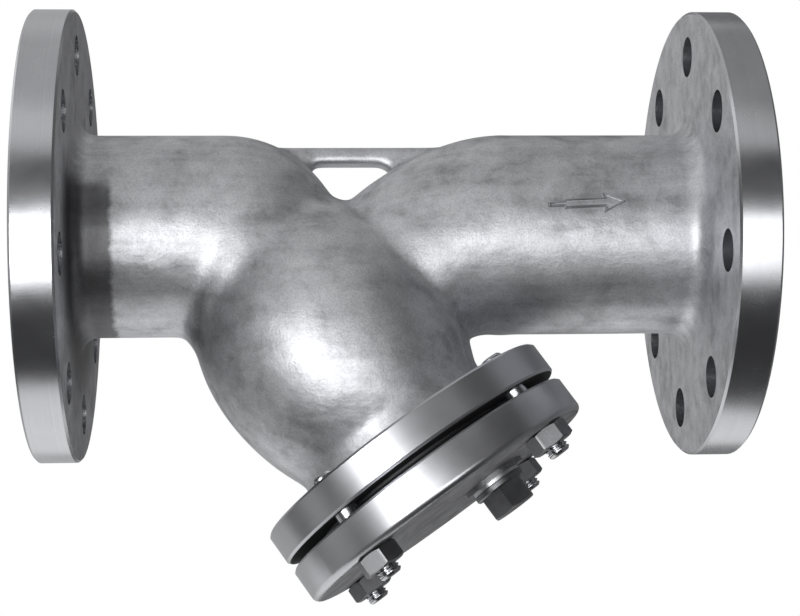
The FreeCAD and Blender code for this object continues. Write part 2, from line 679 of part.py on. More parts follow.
def make_drain_plug():
    body = new_body("drain_plug")
    length, collar = "sizes.plug_thread_length", "sizes.plug_collar_height"
    thread, point = "sizes.plug_thread_radius", "sizes.stud_point"
    # The height counts from the collar's underside, with the thread below it
    section = new_sketch(body, "plug_section", "XZ_Plane")
    outline(section, [
        ("0", f"-{length}"),
        (f"{thread} - {point}", f"-{length}"),
        (thread, f"{point} - {length}"),
        (thread, "0"),
        ("sizes.plug_collar_radius", "0"),
        ("sizes.plug_collar_radius", collar),
        ("0", collar),
    ])
    revolve(body, "plug_thread_and_collar", section, axis="V_Axis")
    head = hexagon(new_sketch(body, "plug_head_section"), "sizes.plug_flats")
    lift(head, collar)
    extrude(body, "plug_head", head, "sizes.plug_head_height")
    top = f"({collar} + sizes.plug_head_height)"
    bevel_hexagon(body, "plug_bevel", "sizes.plug_flats", collar, top)
    stand_on_branch(body, PLUG_COLLAR_FOOT, above="sizes.plug_offset")


def make_screen():
    """The perforated sheet, rolled to a tube, with staggered rows of round holes."""
    body = new_body("screen_basket")
    length = f"({SCREEN_TOP} - {SCREEN_FOOT})"
    wall = new_sketch(body, "screen_wall_section")
    circle(wall, "sizes.screen_radius")
    circle(wall, SCREEN_INNER)
    extrude(body, "screen_sheet", wall, length)

    ring = "sizes.screen_ring_height"
    pitch = f"(({length} - 2 * {ring}) / sizes.screen_rows)"
    axis = origin_plane(body, "Z_Axis")
    half_step = "(180 / sizes.screen_holes_around)"
    for stagger, row_count in (
        (0, math.ceil(number("sizes.screen_rows") / 2)),
        (1, math.floor(number("sizes.screen_rows") / 2)),
    ):
        column = new_sketch(body, f"screen_column_{stagger}", "XZ_Plane")
        column.AttachmentOffset = Placement(Vector(), Rotation(Vector(0, 1, 0), 1))
        column.setExpression("AttachmentOffset.Rotation.Angle", f"{half_step} * {stagger}")
        for row in range(row_count):
            height = f"{ring} + {pitch} * {row * 2 + stagger + 0.5}"
            circle(column, "sizes.screen_hole_radius", "0", height)
        drill = extrude(body, f"screen_drill_{stagger}", column, "sizes.screen_radius * 1.1",
                        cut=True)
        repeat_around(body, f"screen_holes_{stagger}", drill, axis, "sizes.screen_holes_around")
    stand_on_branch(body, SCREEN_FOOT)


make_strainer_body()
make_cover()
make_ring("cover_gasket", GASKET_INNER, GASKET_OUTER,
          "sizes.gasket_thickness", GASKET_FOOT)
for place in range(COVER_STUDS):
    make_stud(place)
    make_nut(place)
make_drain_plug()
make_ring("drain_plug_seal", PLUG_HOLE, "sizes.plug_seal_radius", "sizes.plug_seal_thickness",
          PLUG_SEAL_FOOT, above="sizes.plug_offset")
make_screen()
RING_HEIGHT = "sizes.screen_ring_height"
make_ring("screen_top_ring", RING_INNER, RING_OUTER, RING_HEIGHT, SCREEN_FOOT)
make_ring("screen_base_ring", RING_INNER, RING_OUTER, RING_HEIGHT,
          f"({SCREEN_TOP} - {RING_HEIGHT})")
doc.recompute()

for item in doc.Objects:
    if {"Invalid", "Error"} & set(item.State):
        raise RuntimeError(f"{item.Name} did not compute: {item.getStatusString()}")

bodies = [item for item in doc.Objects if item.TypeId == "PartDesign::Body"]
for body in bodies:
    if body.Shape.isNull() or not body.Shape.isValid() or len(body.Shape.Solids) != 1:
        raise RuntimeError(f"{body.Label} is not one sound solid")

os.makedirs("parts", exist_ok=True)
for body in bodies:
    body.Shape.exportStep(f"parts/{body.Label}.step")
    print(f"{body.Label}: {body.Shape.Volume / 1000:.1f} cm3, {len(body.Shape.Faces)} faces")
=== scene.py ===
# A flanged Y strainer in cast stainless steel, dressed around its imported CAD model.
# Lengths are in metres: +X runs with the flow, +Z up, and -Y is the side with the flow arrow.
import bmesh
import bpy
import math
import numpy as np
from mathutils import Matrix, Vector
from mathutils.kdtree import KDTree


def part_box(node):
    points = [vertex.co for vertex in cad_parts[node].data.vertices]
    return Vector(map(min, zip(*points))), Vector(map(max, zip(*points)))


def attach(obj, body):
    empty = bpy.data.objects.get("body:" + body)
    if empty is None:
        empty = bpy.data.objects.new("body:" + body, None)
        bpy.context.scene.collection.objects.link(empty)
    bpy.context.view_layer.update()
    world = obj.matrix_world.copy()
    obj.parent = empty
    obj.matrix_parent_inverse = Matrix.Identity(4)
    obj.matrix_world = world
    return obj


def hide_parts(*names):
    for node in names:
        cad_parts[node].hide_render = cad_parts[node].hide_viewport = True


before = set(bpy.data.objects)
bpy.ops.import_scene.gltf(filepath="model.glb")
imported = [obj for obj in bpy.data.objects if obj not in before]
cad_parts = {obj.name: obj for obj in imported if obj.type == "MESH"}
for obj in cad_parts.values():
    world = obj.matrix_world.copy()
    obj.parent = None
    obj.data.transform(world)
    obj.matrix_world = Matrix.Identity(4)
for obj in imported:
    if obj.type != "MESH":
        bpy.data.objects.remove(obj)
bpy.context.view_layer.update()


# Camera
# A long lens in front of the strainer and below it, so the undersides of the rims show.
# The photograph leans by a degree and a half.
camera = bpy.data.objects.new("camera", bpy.data.cameras.new("camera"))
bpy.context.scene.collection.objects.link(camera)
camera.data.sensor_width = 36
camera.data.lens = 80.72
camera.data.clip_end = 20
camera_place = Vector((0.10341, -0.76800, -0.24676))
camera_aim = Vector((0.16058, 0, -0.03377))
camera_lean = math.radians(1.568)
look = (camera_aim - camera_place).to_track_quat("-Z", "Y").to_matrix().to_4x4()
camera.matrix_world = (
    Matrix.Translation(camera_place) @ look @ Matrix.Rotation(-camera_lean, 4, "Z")
)
bpy.context.scene.camera = camera
bpy.context.scene.view_settings.view_transform = "Standard"


# Studio
# A pale floor well under the strainer, a white room, and white, grey and black cards round
# it. The cards show only where something mirrors them: they give the bare metal its bands.
class Value:
    """A shader socket that Python's operators work on; each operator adds its Math node."""

    def __init__(self, tree, socket):
        self.tree = tree
        self.socket = socket

    def add(self, kind, settings=None, **inputs):
        """Add any node: its settings first, then values or links for its sockets."""
        node = self.tree.nodes.new(kind)
        for name, setting in (settings or {}).items():
            if name == "stops":
                fill_ramp(node.color_ramp, setting)
            else:
                setattr(node, name, setting)
        for name, given in inputs.items():
            key = int(name[1:]) if name[0] == "_" else name.replace("_", " ")
            connect(self.tree, given, node.inputs[key])
        return node

    def out(self, node, name=0):
        return Value(self.tree, node.outputs[name])

    def math(self, operation, *values):
        inputs = {f"_{place}": value for place, value in enumerate(values)}
        return self.out(self.add("ShaderNodeMath", {"operation": operation}, **inputs))

    def __add__(self, other):
        return self.math("ADD", self, other)

    def __radd__(self, other):
        return self.math("ADD", other, self)

    def __sub__(self, other):
        return self.math("SUBTRACT", self, other)

    def __rsub__(self, other):
        return self.math("SUBTRACT", other, self)

    def __mul__(self, other):
        return self.math("MULTIPLY", self, other)

    def __rmul__(self, other):
        return self.math("MULTIPLY", other, self)

    def __truediv__(self, other):
        return self.math("DIVIDE", self, other)

    def __rtruediv__(self, other):
        return self.math("DIVIDE", other, self)

    def __pow__(self, other):
        return self.math("POWER", self, other)

    def between(self, low, high):
        """0 below low, 1 above high and a smooth step in between."""
        settings = {"interpolation_type": "SMOOTHSTEP"}
        return self.out(self.add("ShaderNodeMapRange", settings,
                                 Value=self, From_Min=low, From_Max=high))

    def place(self):
        """Where a point lies on the object, in metres."""
        return self.out(self.add("ShaderNodeTexCoord"), "Object")

    def noise(self, place, scale, detail=2, roughness=0.5, distortion=0):
        return self.out(self.add("ShaderNodeTexNoise", Vector=place, Scale=scale, Detail=detail,
                                 Roughness=roughness, Distortion=distortion), "Fac")

    def vector(self, operation, *values):
        """A sum, difference or product of vectors, or a vector's length."""
        inputs = {f"_{place}": value for place, value in enumerate(values)}
        node = self.add("ShaderNodeVectorMath", {"operation": operation}, **inputs)
        return self.out(node, "Value" if operation in ("LENGTH", "DOT_PRODUCT") else "Vector")

    def ramp(self, share, stops):
        return self.out(self.add("ShaderNodeValToRGB", {"stops": stops}, Fac=share))

    def blend(self, share, first, second, kind="MIX"):
        """The first colour at share 0 and the second at share 1."""
        settings = {"data_type": "RGBA", "blend_type": kind}
        return self.out(self.add("ShaderNodeMix", settings, _0=share, _6=first, _7=second), 2)

    def bump(self, height, strength, distance):
        return self.out(self.add("ShaderNodeBump", Strength=strength, Distance=distance,
                                 Height=height))


def fill_ramp(ramp, stops):
    while len(ramp.elements) < len(stops):
        ramp.elements.new(1)
    for element, (place, colour) in zip(ramp.elements, stops):
        element.position = place
        element.color = (*colour, 1)


def connect(tree, given, socket):
    if isinstance(given, Value):
        tree.links.new(given.socket, socket)
    elif socket.type == "RGBA":
        socket.default_value = (*given, 1)
    else:
        socket.default_value = given


def new_material(name, finish, **uniform):
    """A material from a function that draws its nodes; uniform values go on the shader."""
    material = bpy.data.materials.new(name)
    material.use_nodes = True
    tree = material.node_tree
    shader = tree.nodes["Principled BSDF"]
    for socket, value in uniform.items():
        shader.inputs[socket.replace("_", " ")].default_value = value
    varying = finish(Value(tree, None))
    for socket, value in varying.items():
        connect(tree, value, shader.inputs[socket])
    return material


def new_piece(name, mesh):
    piece = bpy.data.objects.new(name, mesh)
    bpy.context.scene.collection.objects.link(piece)
    return piece


def plain_emitter(name, level):
    """A card whose own grey is what the metal mirrors."""
    material = bpy.data.materials.new(name)
    material.use_nodes = True
    tree = material.node_tree
    tree.nodes.clear()
    start = Value(tree, None)
    card = start.add("ShaderNodeEmission", Color=(level, level, level), Strength=1.0)
    end = tree.nodes.new("ShaderNodeOutputMaterial")
    tree.links.new(card.outputs[0], end.inputs["Surface"])
    return material


CARD_CENTRE = Vector((0.155, 0, -0.03))


def studio_card(name, level, elevations, azimuths, distance=1.6):
    """Part of a sphere round the strainer, in degrees. Azimuth 0 is towards -Y, 90 is +X."""
    low, high = (math.radians(degrees) for degrees in elevations)
    left, right = (math.radians(degrees) for degrees in azimuths)
    rows = columns = 24
    mesh = bpy.data.meshes.new(name)
    points = []
    for row in range(rows + 1):
        rise = low + (high - low) * row / rows
        for column in range(columns + 1):
            turn = left + (right - left) * column / columns
            way = Vector((math.sin(turn) * math.cos(rise),
                          -math.cos(turn) * math.cos(rise), math.sin(rise)))
            points.append(CARD_CENTRE + way * distance)
    faces = []
    for row in range(rows):
        for column in range(columns):
            corner = row * (columns + 1) + column
            faces.append((corner, corner + 1, corner + columns + 2, corner + columns + 1))
    mesh.from_pydata(points, [], faces)
    mesh.materials.append(plain_emitter(name, level))
    card = new_piece(name, mesh)
    card.visible_camera = False
    card.visible_diffuse = False
    card.visible_transmission = False
    card.visible_shadow = False


studio_card("soft_box", 1.0, (-38, -7), (-46, 27))
studio_card("soft_box_middle_left", 12, (-33, -9), (-37, -17), 1.5)
studio_card("soft_box_middle_right", 3.2, (-33, -7), (-17, 25), 1.5)
studio_card("soft_box_spill", 0.35, (-38, 23), (-58, -46))
studio_card("flag_beside_box", 0.06, (-38, 23), (-76, -58))
studio_card("spill_left", 0.50, (-38, 23), (-100, -76))
studio_card("flag_over_box", 0.06, (-7, 23), (-46, 27))
studio_card("flag_under_box", 0.04, (-90, -38), (-100, 140))
studio_card("flag_right", 0.04, (-38, 50), (27, 72))
studio_card("wall_right", 0.15, (-38, 50), (72, 135))
studio_card("flag_left", 0.05, (-38, 23), (-125, -100))
studio_card("ceiling_front", 0.74, (23, 45), (-62, 30))
studio_card("ceiling", 0.50, (45, 90), (-125, 30))
studio_card("ceiling_right", 0.30, (50, 90), (30, 135))
studio_card("wall_back_left", 0.50, (-25, 60), (-180, -125))
studio_card("wall_back_right", 0.17, (-25, 60), (135, 180))
studio_card("ceiling_back", 0.60, (60, 90), (135, 235))

FLOOR_HEIGHT = -0.62
FLOOR_REACH = 60
floor_mesh = bpy.data.meshes.new("floor")
floor_mesh.from_pydata(
    [(x * FLOOR_REACH, y * FLOOR_REACH, FLOOR_HEIGHT) for x, y in ((-1, -1), (1, -1), (1, 1), (-1, 1))],
    [], [(0, 1, 2, 3)])
floor_mesh.materials.append(new_material(
    "floor_pale", lambda start: {}, Base_Color=(0.8, 0.8, 0.8, 1), Roughness=0.9,
    Specular_IOR_Level=0.0))
floor = new_piece("floor", floor_mesh)
floor.visible_glossy = False

world = bpy.data.worlds.new("white_room")
bpy.context.scene.world = world
world.use_nodes = True
world_tree = world.node_tree
background = world_tree.nodes["Background"]
background.inputs["Color"].default_value = (1, 1, 1, 1)
room_light = 0.72
start = Value(world_tree, None)
rays = start.add("ShaderNodeLightPath")
seen = start.out(rays, "Is Camera Ray")
mirrored = start.out(rays, "Is Glossy Ray")
through = start.out(rays, "Is Transmission Ray")
shows_white = start.math("MAXIMUM", start.math("MAXIMUM", seen, mirrored), through)
connect(world_tree, room_light + shows_white * (1 - room_light), background.inputs["Strength"])

soft_box = bpy.data.lights.new("soft_box_overhead", "AREA")
soft_box.shape = "RECTANGLE"
soft_box.size = 1.2
soft_box.size_y = 0.8
soft_box.energy = 6
soft_box_object = bpy.data.objects.new("soft_box_overhead", soft_box)
bpy.context.scene.collection.objects.link(soft_box_object)
soft_box_object.location = (0.155, -0.5, 1.1)
soft_box_object.rotation_euler = (math.radians(24), 0, 0)
soft_box_object.visible_glossy = False


# Body
# One stainless casting: two pipe flanges, the bend down into the barrel, the outlet arm
# that rises out of the barrel, and a rib over the V. Rims, faces and bores are machined.
BRANCH_FOOT = Vector((0.0953, 0, 0))
BRANCH_ANGLE = math.radians(55.5)
DOWN_BRANCH = Vector((math.cos(BRANCH_ANGLE), 0, -math.sin(BRANCH_ANGLE)))
OVER_BRANCH = Vector((math.sin(BRANCH_ANGLE), 0, math.cos(BRANCH_ANGLE)))
ACROSS = Vector((0, 1, 0))

CAST_GRAIN = 0.0013        # cell of the remeshed skin
CREASE = math.radians(14)
CREASE_STEP = 0.0015       # between the points that mark a crease
WELD = 2e-6                # corners nearer than this are one
SEAM = 0.0015              # width of the strip that joins cast skin and machined part
BRANCH_REACH = 0.077       # the branch and its flange stay within this of the branch axis
# Where the skin left as cast ends: behind each pipe flange, and under the bonnet flange.
INLET_SEAM = (Vector((0.0290, 0, 0)), Vector((-1, 0, 0)))
OUTLET_SEAM = (Vector((0.2810, 0, 0)), Vector((1, 0, 0)))
BRANCH_SEAM = (BRANCH_FOOT + DOWN_BRANCH * 0.1105, DOWN_BRANCH)
SEAMS = (INLET_SEAM, OUTLET_SEAM, BRANCH_SEAM)


def merged_copy(node):
    """A CAD node's triangles as one closed bmesh."""
    shape = bmesh.new()
    shape.from_mesh(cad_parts[node].data)
    bmesh.ops.remove_doubles(shape, verts=shape.verts, dist=WELD)
    return shape


def beside_branch(place):
    return (place - BRANCH_FOOT).dot(OVER_BRANCH) > BRANCH_REACH


def cut_at(shape, seam, margin=0, clear=False):
    """Cut the shape along a seam's plane; the branch's plane leaves the outlet arm alone."""
    point, normal = seam
    corners = shape.verts
    if seam is BRANCH_SEAM:
        corners = [corner for corner in shape.verts if not beside_branch(corner.co)]
    chosen = set(corners)
    edges = [edge for edge in shape.edges if chosen.issuperset(edge.verts)]
    faces = [face for face in shape.faces if chosen.issuperset(face.verts)]
    bmesh.ops.bisect_plane(shape, geom=[*corners, *edges, *faces],
                           plane_co=point - normal * margin, plane_no=normal,
                           clear_outer=clear, dist=1e-7)


def crisp(shape, angle=math.radians(32)):
    """Smooth faces that part at every edge sharper than an angle."""
    for face in shape.faces:
        face.smooth = True
    for edge in shape.edges:
        edge.smooth = edge.calc_face_angle(0) < angle


def within_seams(place):
    """How far a point lies inside the nearest seam."""
    depths = [(point - place).dot(normal) for point, normal in SEAMS[:2]]
    if not beside_branch(place):
        point, normal = BRANCH_SEAM
        depths.append((point - place).dot(normal))
    return min(depths)


def loose_parts(faces):
    """The connected parts of some faces, as lists of faces."""
    waiting = set(faces)
    parts = []
    while waiting:
        reach = [waiting.pop()]
        part = []
        while reach:
            face = reach.pop()
            part.append(face)
            for edge in face.edges:
                for other in edge.link_faces:
                    if other in waiting:
                        waiting.remove(other)
                        reach.append(other)
        parts.append(part)
    return parts


def highest_part(parts):
    return max(parts, key=lambda part: max(v.co.z for face in part for v in face.verts))


def outer_skin_of(shape, margin):
    """Keep only the outside of the casting between the seams."""
    for seam in SEAMS:
        cut_at(shape, seam, margin, clear=True)
    parts = loose_parts(shape.faces)
    outside = highest_part(parts)
    inside = [face for part in parts if part is not outside for face in part]
    bmesh.ops.delete(shape, geom=inside, context="FACES")
    return shape


def crease_points(shape, into_corner):
    """Points along the edges where two forms meet at an angle, in or out."""
    points = []
    for edge in shape.edges:
        if len(edge.link_faces) != 2:
            continue
        angle = edge.calc_face_angle_signed(0)
        if (angle < -CREASE) if into_corner else (angle > CREASE):
            start, end = (v.co for v in edge.verts)
            steps = max(1, int((end - start).length / CREASE_STEP))
            points += [start.lerp(end, step / steps) for step in range(steps + 1)]
    return points


def near(points, places, reach):
    """1 at a crease, falling smoothly to 0 at reach."""
    tree = KDTree(len(points))
    for number, point in enumerate(points):
        tree.insert(point, number)
    tree.balance()
    distances = np.array([tree.find(place)[2] for place in places])
    share = np.clip(1 - distances / reach, 0, 1)
    return share * share * (3 - 2 * share)


LEAST_WEIGHT = 0.002


def smooth(piece, weights, rounds):
    group = piece.vertex_groups.new(name="smoothing")
    for number, weight in enumerate(weights):
        if weight > LEAST_WEIGHT:
            group.add([number], float(weight), "REPLACE")
    modifier = piece.modifiers.new("smoothing", "SMOOTH")
    modifier.factor = 0.5
    modifier.iterations = rounds
    modifier.vertex_group = "smoothing"
    settle(piece)
    piece.vertex_groups.clear()


def settle(piece):
    """Make the modifiers' result the piece's own mesh."""
    depsgraph = bpy.context.evaluated_depsgraph_get()
    result = bpy.data.meshes.new_from_object(piece.evaluated_get(depsgraph))
    piece.modifiers.clear()
    old = piece.data
    piece.data = result
    bpy.data.meshes.remove(old)


body_shape = merged_copy("strainer_body")
body_mesh = bpy.data.meshes.new("strainer_casting")
body_shape.to_mesh(body_mesh)

skin_shape = outer_skin_of(body_shape.copy(), 0)
corners = crease_points(skin_shape, True)
ridges = crease_points(skin_shape, False)
skin_shape.free()
body_shape.free()

cast = new_piece("strainer_casting", body_mesh)
remesh = cast.modifiers.new("remesh", "REMESH")
remesh.mode = "VOXEL"
remesh.voxel_size = CAST_GRAIN
settle(cast)
cast_shape = bmesh.new()
cast_shape.from_mesh(cast.data)
outer_skin_of(cast_shape, SEAM)
cast_shape.to_mesh(cast.data)
cast_shape.free()

CORNER_REACH = 0.016       # how far the smoothing reaches from an inward corner
RIDGE_REACH = 0.005        # and from an outward one
RIDGE_SHARE = 0.35
CORNER_ROUNDS = 42
SKIN_SHARE = 0.8           # the whole skin is then smoothed a little
SKIN_ROUNDS = 6
SEAM_CLEARANCE = 0.006     # from a seam, over which the smoothing comes in
SEAM_STILL = 0.4           # share of that clearance in which nothing moves
RIB_LEVEL = 0.030          # corners at the rib, above this height, stay tighter
RIB_FADE = 0.012
RIB_SHARE = 0.25
places = [vertex.co.copy() for vertex in cast.data.vertices]
seam_distance = np.array([within_seams(place) for place in places])
clear_of_seam = np.clip(seam_distance / SEAM_CLEARANCE - SEAM_STILL, 0, 1)
in_corner = near(corners, places, CORNER_REACH)
on_ridge = near(ridges, places, RIDGE_REACH)
below_rib = np.clip((RIB_LEVEL - np.array([place.z for place in places])) / RIB_FADE, 0, 1)
corner_share = in_corner * (RIB_SHARE + (1 - RIB_SHARE) * below_rib)
bend_share = np.maximum(corner_share, RIDGE_SHARE * on_ridge)
smooth(cast, bend_share * clear_of_seam, CORNER_ROUNDS)
smooth(cast, SKIN_SHARE * clear_of_seam, SKIN_ROUNDS)

SEAM_EDGE = 1e-5
SEAM_FIND = 1.4 * SEAM     # the open edges on both sides of a seam lie nearer than this
machined = merged_copy("strainer_body")
for seam in SEAMS:
    cut_at(machined, seam)
between = [face for face in machined.faces if within_seams(face.calc_center_median()) > SEAM_EDGE]
bmesh.ops.delete(machined, geom=highest_part(loose_parts(between)), context="FACES")

joined = bpy.data.meshes.new("strainer_casting")
machined.to_mesh(joined)
machined.free()
whole = bmesh.new()
whole.from_mesh(joined)
whole.from_mesh(cast.data)
for point, normal in SEAMS:
    seam = [edge for edge in whole.edges if edge.is_boundary
            and all(abs((v.co - point).dot(normal)) < SEAM_FIND for v in edge.verts)]
    bmesh.ops.bridge_loops(whole, edges=seam)
bmesh.ops.recalc_face_normals(whole, faces=whole.faces)
crisp(whole)
whole.to_mesh(cast.data)
whole.free()
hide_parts("strainer_body")
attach(cast, "root")


# A near-black grey, used for the painted shadow on the inlet's hub and to darken the cover's outer
# face.
DIRT = (0.10, 0.10, 0.103)
# Where the painted shadow on the inlet's hub, which stands in for the inlet flange's shade,
# fades out: along the pipe, above its axis, and away from that axis.
STAIN_END = (0.0345, 0.0375)
STAIN_TOP = (0.004, 0.024)
STAIN_OUT = (0.055, 0.085)
STAIN_STRENGTH = 0.82


def out_from_pipe(start, place):
    """A place's parts along and above the pipe axis, and its distance from that axis."""
    spot = start.add("ShaderNodeSeparateXYZ", Vector=place)
    along, across, above = (start.out(spot, part) for part in "XYZ")
    return along, above, (across ** 2 + above ** 2) ** 0.5


def oily_hub(start, place, blotch, cloud):
    """Painted shadow of the inlet flange on the lower half of its hub: 1 in the shadow, 0 outside."""
    along, above, out = out_from_pipe(start, place)
    clean_along = (along + (cloud - 0.5) * 0.006).between(*STAIN_END)
    clean_above = (above + (blotch - 0.5) * 0.03).between(*STAIN_TOP)
    return (1 - clean_along) * (1 - out.between(*STAIN_OUT)) * (1 - clean_above)


def cast_skin(start):
    """Blasted and pickled casting: satin and blotchy, grainy, with a painted shadow on the inlet hub.
    """
    place = start.place()
    blotch = start.noise(place, 30, 8, 0.62, 0.8)
    cloud = start.noise(place, 110, 6, 0.65, 0.4)
    long_place = start.out(start.add("ShaderNodeMapping", Vector=place, Scale=(0.12, 1, 1)))
    streak = start.noise(long_place, 150, 4, 0.6)
    grain = start.noise(place, 1300)
    peel = start.noise(place, 330, 3, 0.6)
    tone = blotch * 0.45 + cloud * 0.30 + streak * 0.25
    steel = start.ramp(tone, [(0.39, (0.40, 0.404, 0.423)), (0.47, (0.590, 0.594, 0.62)),
                              (0.54, (0.695, 0.70, 0.727)), (0.62, (0.78, 0.785, 0.813))])
    speckle = start.ramp(grain, [(0.35, (0.84, 0.84, 0.84)), (0.6, (1, 1, 1))])
    shade = start.blend(1.0, steel, speckle, "MULTIPLY")
    # Painted shadow: the inlet flange's shade on its hub, laid into the base colour as a near-black
    # grey.
    oily = oily_hub(start, place, blotch, cloud) * STAIN_STRENGTH
    return {
        "Base Color": start.blend(oily, shade, DIRT),
        "Roughness": 0.42 + blotch * 0.16,
        "Normal": start.bump(peel * 0.65 + grain * 0.35, 0.6, 0.0003),
    }


def turning_marks(start, place, foot, axis):
    """Fine rings left by the lathe round an axis: lines on a rim, circles on a face."""
    arm = start.vector("SUBTRACT", place, foot)
    along = start.vector("DOT_PRODUCT", arm, axis)
    out = start.vector("LENGTH", start.vector("CROSS_PRODUCT", arm, axis))
    spot = start.out(start.add("ShaderNodeCombineXYZ", X=along, Y=out))
    return start.noise(spot, 1100, 1) * 0.6 + start.noise(spot, 300, 2) * 0.4


def steel_grey(level):
    """Stainless steel's own grey, with a little more blue than red."""
    return (level * 0.99, level, level * 1.045)


def turned_finish(foot, axis, level, roughness):
    """Turned steel, its lathe marks round an axis, clouded where hands have been."""
    def finish(start):
        place = start.place()
        marks = turning_marks(start, place, foot, axis)
        handled = start.noise(place, 34, 4, 0.6)
        return {
            "Base Color": start.blend(handled * 0.6 + marks * 0.4,
                                      steel_grey(level * 0.74), steel_grey(level * 1.18)),
            "Roughness": roughness - 0.08 + handled * 0.16,
            "Normal": start.bump(marks, 0.05, 0.00002),
        }
    return finish


PIPE_AXIS = Vector((1, 0, 0))
cast_steel = new_material("cast_steel", cast_skin, Metallic=1.0)
pipe_turned = new_material("pipe_flange_turned", turned_finish(
    Vector((0, 0, 0)), PIPE_AXIS, level=0.60, roughness=0.26), Metallic=1.0)
branch_turned = new_material("branch_flange_turned", turned_finish(
    BRANCH_FOOT, DOWN_BRANCH, level=0.56, roughness=0.34), Metallic=1.0)
# Painted shade: the faces in the joint of flange and cover are near black, for the shade in the gap
# between the parts.
joint_dull = new_material("joint_face_painted_shade", turned_finish(
    BRANCH_FOOT, DOWN_BRANCH, level=0.14, roughness=0.55), Metallic=1.0)
finishes = (cast_steel, pipe_turned, branch_turned, joint_dull)
cast.data.materials.clear()
for finish in finishes:
    cast.data.materials.append(finish)
LENGTH = 0.310
BORE = 0.040
BORE_REACH = 0.001         # a face this near to the bore belongs to it
FLANGE_BACK = 0.0188       # the back itself is left as cast
BONNET_BACK = 0.1140
JOINT_FROM = 0.1265
JOINT_TO = 0.1360
JOINT_RADIUS = 0.066


def branch_position(place):
    """Distance down the branch from the pipe axis, and distance from the branch axis."""
    arm = place - BRANCH_FOOT
    down = arm.dot(DOWN_BRANCH)
    return down, (arm - DOWN_BRANCH * down).length


def in_joint(face):
    """Whether a face lies in the joint of flange and cover, out of the light."""
    down, out = branch_position(face.center)
    level_face = abs(face.normal.dot(DOWN_BRANCH)) > 0.9
    return JOINT_FROM < down < JOINT_TO and (level_face or out < JOINT_RADIUS)


for face in cast.data.polygons:
    centre = face.center
    depth = min(centre.x, LENGTH - centre.x)
    in_bore = math.hypot(centre.y, centre.z) < BORE + BORE_REACH
    on_flange = depth < FLANGE_BACK or (in_bore and depth < INLET_SEAM[0].x)
    on_bonnet = branch_position(centre)[0] > BONNET_BACK and not beside_branch(centre)
    if on_flange:
        face.material_index = finishes.index(pipe_turned)
    elif on_bonnet:
        face.material_index = finishes.index(joint_dull if in_joint(face) else branch_turned)


# Flow arrow
# Raised on the near side of the outlet tube and cast with the body: a worn border with a
# lower field inside it.
TUBE_RADIUS = 0.045
ARROW_RISE = 0.0015
ARROW_ROOT = -0.0008         # its border starts this far inside the tube
ARROW_DEPTH = -0.0014        # and its underside, out of sight, lies here
ARROW_LEAN = math.radians(2.6)
ARROW_FOOT = Vector((0.2220, -0.0009))
ARROW_BORDER = 0.00095       # width of the raised border round the arrow
ARROW_FLOOR = 0.40           # height inside the border, as a share of the rise
ARROW_CELL = 0.00022
ARROW_SKIRT = 1.5 * ARROW_CELL    # the mesh reaches this far past the arrow's outline
ARROW_GRID = (Vector((-0.0007, -0.00525)), Vector((0.0348, 0.00525)))
ARROW = [Vector(corner) for corner in (
    (0.0, -0.0009), (0.0072, -0.0012), (0.0072, -0.0020), (0.0250, -0.0020),
    (0.0242, -0.0046), (0.0340, 0.0), (0.0242, 0.0046), (0.0250, 0.0020),
    (0.0072, 0.0020), (0.0072, 0.0012), (0.0, 0.0009))]


def depth_inside(outline, spot):
    """How far a spot lies inside an outline; negative outside."""
    nearest, inside = 1.0, False
    for start, end in zip(outline, outline[1:] + outline[:1]):
        side = end - start
        share = max(0, min(1, (spot - start).dot(side) / side.length_squared))
        nearest = min(nearest, (spot - start - side * share).length)
        if (start.y > spot.y) != (end.y > spot.y):
            if spot.x < start.x + (spot.y - start.y) * side.x / side.y:
                inside = not inside
    return nearest if inside else -nearest


def arrow_height(depth):
    if depth < 0:
        return ARROW_ROOT
    wave = math.sin(math.pi * min(depth / ARROW_BORDER, 0.98))
    if depth > ARROW_BORDER / 2:
        return ARROW_RISE * max(wave, ARROW_FLOOR)
    return ARROW_RISE * wave


def on_tube(along, over, rise):
    """A point of the arrow's flat drawing, laid on the near side of the outlet tube."""
    x = ARROW_FOOT.x + along * math.cos(ARROW_LEAN) - over * math.sin(ARROW_LEAN)
    z = ARROW_FOOT.y + along * math.sin(ARROW_LEAN) + over * math.cos(ARROW_LEAN)
    radius = TUBE_RADIUS + rise
    return Vector((x, -math.sqrt(radius * radius - z * z), z))


arrow_shape = bmesh.new()
grid_from, grid_to = ARROW_GRID
columns, rows = (int(side / ARROW_CELL) for side in grid_to - grid_from)
spots = {}
for column in range(columns + 1):
    for row in range(rows + 1):
        spot = grid_from + Vector((column, row)) * ARROW_CELL
        depth = depth_inside(ARROW, spot)
        if depth > -ARROW_SKIRT:
            spots[column, row] = arrow_shape.verts.new((spot.x, spot.y, arrow_height(depth)))
for column, row in spots:
    square = [(column, row), (column + 1, row), (column + 1, row + 1), (column, row + 1)]
    if all(corner in spots for corner in square):
        arrow_shape.faces.new([spots[corner] for corner in square])
loose = [point for point in arrow_shape.verts if not point.link_faces]
bmesh.ops.delete(arrow_shape, geom=loose, context="VERTS")
border = [edge for edge in arrow_shape.edges if edge.is_boundary]
feet = {}
for point in list(arrow_shape.verts):
    feet[point] = arrow_shape.verts.new((point.co.x, point.co.y, ARROW_DEPTH))
for face in list(arrow_shape.faces):
    arrow_shape.faces.new([feet[point] for point in list(face.verts)[::-1]])
for edge in border:
    first, second = edge.verts
    arrow_shape.faces.new((first, second, feet[second], feet[first]))
for point in arrow_shape.verts:
    point.co = on_tube(*point.co)
bmesh.ops.recalc_face_normals(arrow_shape, faces=arrow_shape.faces)
crisp(arrow_shape, math.radians(75))
arrow_mesh = bpy.data.meshes.new("flow_arrow")
arrow_shape.to_mesh(arrow_mesh)
arrow_shape.free()


